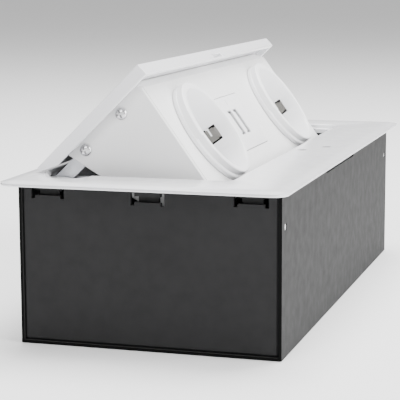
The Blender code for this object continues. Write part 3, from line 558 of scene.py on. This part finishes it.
def make_lid():
    """The lid, pressed from sheet: rounded edges, rims on three sides, and the catch's slot."""
    bottom = LID_TOP - LID_RIM
    low, high = (LID_LEFT, -LID_HALF, bottom), (LID_RIGHT, LID_HALF, LID_TOP)
    lid = link("lid_shell", box_mesh("lid_shell", low, high), LID_FRAME)
    low = (LID_LEFT - 0.002, -LID_HALF + LID_SHEET, bottom - 0.002)
    high = (LID_RIGHT - LID_SHEET, LID_HALF - LID_SHEET, LID_TOP - LID_SHEET)
    inside = cutter("inside", box_mesh("inside", low, high), LID_FRAME)
    slope = math.atan2(LID_RIM - LID_SHEET, LID_TAPER)
    hinge_edge = Matrix.Translation((LID_LEFT, 0.0, LID_TOP - LID_SHEET)) @ Matrix.Rotation(slope, 4, "Y")
    taper_box = box_mesh("taper", (-0.02, -0.12, -0.01), (0.02, 0.12, 0.0))
    taper = cutter("taper", taper_box, LID_FRAME @ hinge_edge)
    slot_top = LID_TOP - LID_SLOT_DOWN
    low = (LID_RIGHT - 0.004, LID_SLOT_Y[0], slot_top - LID_SLOT_HEIGHT)
    high = (LID_RIGHT + 0.002, LID_SLOT_Y[1], slot_top)
    slot = cutter("slot", box_mesh("slot", low, high), LID_FRAME)
    carve(lid, [inside, taper, slot])
    round_edges(lid, 0.0006, 4, angle=40)
    smooth(lid)
    settle(lid, "lid_unit", "white_enamel", "lid_cover")


def corner_arc(radius, height, size, steps):
    """Profile points round an outer corner, from level to upright, within a square of the given size."""
    turns = [math.radians(90 * i / steps) for i in range(steps + 1)]
    return [(radius - size + size * math.sin(turn), height - size + size * math.cos(turn)) for turn in turns]


def cup_profile():
    """The cup's section from the middle of its floor, up the well, over the lip and down the outside."""
    toe = 0.0014
    mouth = MOUTH_RADIUS - 0.0002
    points = [
        (0.0, WELL_FLOOR), (0.0068, WELL_FLOOR), (0.0070, WELL_FLOOR + 0.0004), (0.0074, WELL_FLOOR + 0.0004),
        (0.0076, WELL_FLOOR), (WELL_RADIUS - 0.0016, WELL_FLOOR),
    ]
    for i in range(1, 7):
        turn = math.radians(90 * i / 6)
        points.append((WELL_RADIUS - 0.0016 + toe * math.sin(turn), WELL_FLOOR + toe * (1 - math.cos(turn))))
    points += [(WELL_RADIUS, COLLAR_TOP - 0.0014), (mouth, COLLAR_TOP - 0.0003)]
    for i in range(1, 4):
        turn = math.radians(90 * i / 3)
        points.append((mouth + 0.0004 * (1 - math.cos(turn)), COLLAR_TOP - 0.0003 + 0.0003 * math.sin(turn)))
    points += corner_arc(COLLAR_RADIUS, COLLAR_TOP, 0.0006, 6)
    points.append((COLLAR_RADIUS, FLANGE_TOP + 0.0003))
    points += corner_arc(FLANGE_RADIUS, FLANGE_TOP, 0.0007, 4)
    points += [(FLANGE_RADIUS, GAP), (CUP_RADIUS, GAP), (CUP_RADIUS, CUP_BACK), (0.0, CUP_BACK)]
    return points


def make_socket(end, y):
    """A cup with its stepped collar, the earth clips' windows and the two pin holes."""
    here = FACE_FRAME @ Matrix.Translation((SOCKET_DOWN, y, 0.0))
    cup = link(f"socket_moulding_{end}", lathe("cup", cup_profile(), 160), here)

    band_top = COLLAR_TOP - 0.0002
    band_low = FLANGE_TOP - 0.0005
    band = lathe("band", [
        (COLLAR_RADIUS - 0.001, band_top), (STEP_RADIUS - 0.0003, band_top), (STEP_RADIUS, band_top - 0.0003),
        (STEP_RADIUS, band_low), (COLLAR_RADIUS - 0.001, band_low),
    ], 90, start=math.radians(88), sweep=math.radians(184))
    carve(cup, [cutter("band", band, here)], "UNION")

    cuts = []
    pin = [
        (0.0, 0.002), (PIN_COUNTERSINK, 0.002), (PIN_COUNTERSINK, 0.0002), (PIN_BORE, -0.0010),
        (PIN_BORE, -0.006), (0.0, -0.006),
    ]
    for side in (-1, 1):
        low, high = sorted((side * (WELL_RADIUS - 0.0012), side * 0.030))
        window = box_mesh("window", (-WINDOW_HALF, low, CUP_BACK - 0.001), (WINDOW_HALF, high, WINDOW_TOP))
        cuts.append(cutter("window", window, here))
        offset = Matrix.Translation((side * PIN_OFFSET, 0.0, WELL_FLOOR))
        cuts.append(cutter("pin", lathe("pin", pin, 48), here @ offset))
    carve(cup, cuts)
    smooth(cup, 40)
    settle(cup, "lid_unit", "white_plastic", f"socket_{end}")

    for side, name in ((-1, "a"), (1, "b")):
        make_window_bridge(f"window_bridge_{end}_{name}", here, side)
        make_earth_clip(f"earth_clip_{end}_{name}", here, side)


def make_window_bridge(name, here, side):
    """The white bar across the middle of the clip's window."""
    low, high = sorted((side * (WELL_RADIUS - 0.0011), side * (WELL_RADIUS + 0.0004)))
    bar = link(name, box_mesh(name, (-WINDOW_HALF, low, -0.0062), (0.0004, high, -0.0046)), here)
    round_edges(bar, 0.0002, 2)
    smooth(bar)
    settle(bar, "lid_unit", "white_plastic")


def make_earth_clip(name, here, side):
    """A sprung contact: a strip with a bowed middle."""
    reach = WELL_RADIUS + 0.0010
    rings = []
    for i in range(13):
        along = i / 12
        height = CLIP_TOP - CLIP_LENGTH * along
        radius = reach - CLIP_BOW * math.sin(math.pi * along) ** 1.5
        inner, outer = side * (radius - CLIP_SHEET / 2), side * (radius + CLIP_SHEET / 2)
        corners = ((-CLIP_HALF, inner), (CLIP_HALF, inner), (CLIP_HALF, outer), (-CLIP_HALF, outer))
        rings.append([(x, y, height) for x, y in corners])
    clip = link(name, lofted(name, rings), here)
    smooth(clip)
    settle(clip, "lid_unit", "nickel")


def make_bezel():
    """The charger's front, with a tick mark near its top, and two ports."""
    half = USB_SIZE / 2
    here = FACE_FRAME @ Matrix.Translation((USB_DOWN, USB_Y, 0.0))
    corner = 0.0012
    edge = 0.0003
    rings = [rounded_ring(-half, half, corner, -0.003, 6)]
    for i in range(4):
        turn = math.radians(90 * i / 3)
        height = -0.00005 + edge * math.sin(turn)
        rings.append(rounded_ring(-half, half, corner, height, 6, inset=edge * (1 - math.cos(turn))))
    bezel = link("charger_front", lofted("charger_front", rings), here)
    cuts = []
    for side in (-1, 1):
        middle = Vector((0.0, side * PORT_PITCH / 2))
        low, high = middle - PORT_HALF, middle + PORT_HALF
        hole = [rounded_ring(low, high, 0.0005, z, 4) for z in (-0.006, 0.002)]
        cuts.append(cutter("port", lofted("port", hole), here))
    tick = box_mesh("tick", (-half.x + 0.0018, -0.0002, -0.0004), (-half.x + 0.0045, 0.0002, 0.001))
    cuts.append(cutter("tick", tick, here))
    carve(bezel, cuts)
    smooth(bezel)
    settle(bezel, "lid_unit", "white_plastic", "usb_bezel")
    for side, end in ((-1, "near"), (1, "far")):
        make_tongue(f"port_tongue_{end}", here, side * PORT_PITCH / 2, f"usb_tongue_{end}")


def make_tongue(name, here, middle, node):
    """The white insulator, which fills most of a port and leaves a dark slit."""
    low, high = (-TONGUE_HALF, middle + TONGUE_SPAN[0]), (TONGUE_HALF, middle + TONGUE_SPAN[1])
    levels = ((0.0, -0.012), (0.0, -0.0006), (0.0002, -0.0003))
    rings = [rounded_ring(low, high, 0.0003, z, 4, inset=inset) for inset, z in levels]
    tongue = link(name, lofted(name, rings), here)
    smooth(tongue)
    settle(tongue, "lid_unit", "white_plastic", node)


def screw_dome():
    """The section of a domed head: its crown, its curve out to the rim, and its flat seat."""
    rim_height = 0.0004
    rise = 0.0010
    rim_cosine = 0.342
    profile = [(0.0, rim_height + rise)]
    for i in range(1, 8):
        turn = SCREW_DOME_ANGLE * i / 7
        radius = SCREW_HEAD * math.sin(turn) / math.sin(SCREW_DOME_ANGLE)
        profile.append((radius, rim_height + rise * (math.cos(turn) - rim_cosine) / (1 - rim_cosine)))
    return profile + [(SCREW_HEAD, 0.0), (0.0, 0.0)]


def make_cheek_screw(node):
    """A domed head with a cross recess, in the place of its plain CAD head."""
    low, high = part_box(node)
    middle = (low + high) / 2
    side = 1.0 if middle.y > 0 else -1.0
    base = Vector((middle.x, low.y if side > 0 else high.y, middle.z))
    here = Matrix.Translation(base) @ Matrix.Rotation(math.radians(-90 * side), 4, "X")
    head = link(f"head_{node}", lathe("head", screw_dome(), 64), here)
    recess = []
    for turn in (SCREW_TURN, SCREW_TURN + math.pi / 2):
        blade = box_mesh("blade", (-CROSS_HALF, -CROSS_BLADE, 0.0001), (CROSS_HALF, CROSS_BLADE, 0.003))
        recess.append(cutter("blade", blade, here @ Matrix.Rotation(turn, 4, "Z")))
    middle_well = [(0.0, 0.003), (0.0009, 0.003), (0.0008, 0.0010), (0.0003, 0.0004), (0.0, 0.0004)]
    recess.append(cutter("well", lathe("well", middle_well, 16), here))
    carve(head, recess)
    smooth(head, 30)
    settle(head, "lid_unit", "bright_screw", node)


# ---------------------------------------------------------------- studio

def make_floor():
    bm = bmesh.new()
    bmesh.ops.create_grid(bm, x_segments=2, y_segments=2, size=6.0)
    floor = link("floor", finish_mesh(bm, "floor"), Matrix.Translation((0.0, 0.0, -0.0002)))
    material, tree, shader = shader_material("floor_paper", (0.9, 0.9, 0.9), 0.9, specular=0.2)
    tint = mix_colors(tree, noise(tree, 2.0), (0.90, 0.90, 0.90), (0.92, 0.92, 0.92))
    tree.links.new(tint, shader.inputs["Base Color"])
    floor.data.materials.append(material)


def area_light(name, where, target, size, power):
    light = bpy.data.lights.new(name, "AREA")
    light.energy = power
    light.shape = "SQUARE"
    light.size = size
    obj = bpy.data.objects.new(name, light)
    bpy.context.scene.collection.objects.link(obj)
    obj.location = where
    obj.rotation_euler = (Vector(target) - Vector(where)).to_track_quat("-Z", "Y").to_euler()


def make_studio():
    world = bpy.data.worlds.new("studio")
    bpy.context.scene.world = world
    world.use_nodes = True
    tree = world.node_tree
    background = tree.nodes["Background"]
    background.inputs["Color"].default_value = (1.0, 1.0, 1.0, 1.0)
    rays = tree.nodes.new("ShaderNodeLightPath")
    level = tree.nodes.new("ShaderNodeMapRange")
    level.inputs["To Min"].default_value = WORLD_LIGHT
    level.inputs["To Max"].default_value = BACKDROP_LIGHT
    tree.links.new(rays.outputs["Is Camera Ray"], level.inputs["Value"])
    tree.links.new(level.outputs["Result"], background.inputs["Strength"])
    middle = (0.0, 0.0, 0.06)
    area_light("right_box", (1.1, -0.15, 0.55), middle, 0.7, 26.0)
    area_light("top_box", (0.1, 0.3, 1.3), middle, 0.9, 42.0)
    area_light("front_box", (-0.3, -1.3, 0.9), middle, 0.6, 9.0)


def make_camera():
    camera = bpy.data.cameras.new("camera")
    camera.lens = CAMERA_LENS
    camera.sensor_width = CAMERA_SENSOR
    obj = bpy.data.objects.new("camera", camera)
    bpy.context.scene.collection.objects.link(obj)
    obj.location = CAMERA_PLACE
    turn = Matrix.Rotation(math.radians(CAMERA_TURN), 3, "Z")
    tilt = Matrix.Rotation(math.radians(90 - CAMERA_DOWN), 3, "X")
    roll = Matrix.Rotation(math.radians(CAMERA_ROLL), 3, "Z")
    obj.rotation_euler = (turn @ tilt @ roll).to_euler()
    bpy.context.scene.camera = obj


make_camera()
make_studio()
make_floor()
dress_cad_nodes()
make_flange()
make_painted_shade_snap_tabs()
make_lid()
make_socket("near", -SOCKET_Y)
make_socket("far", SOCKET_Y)
make_bezel()
for place in ("near_rear", "near_front", "far_rear", "far_front"):
    make_cheek_screw(f"cheek_screw_{place}")
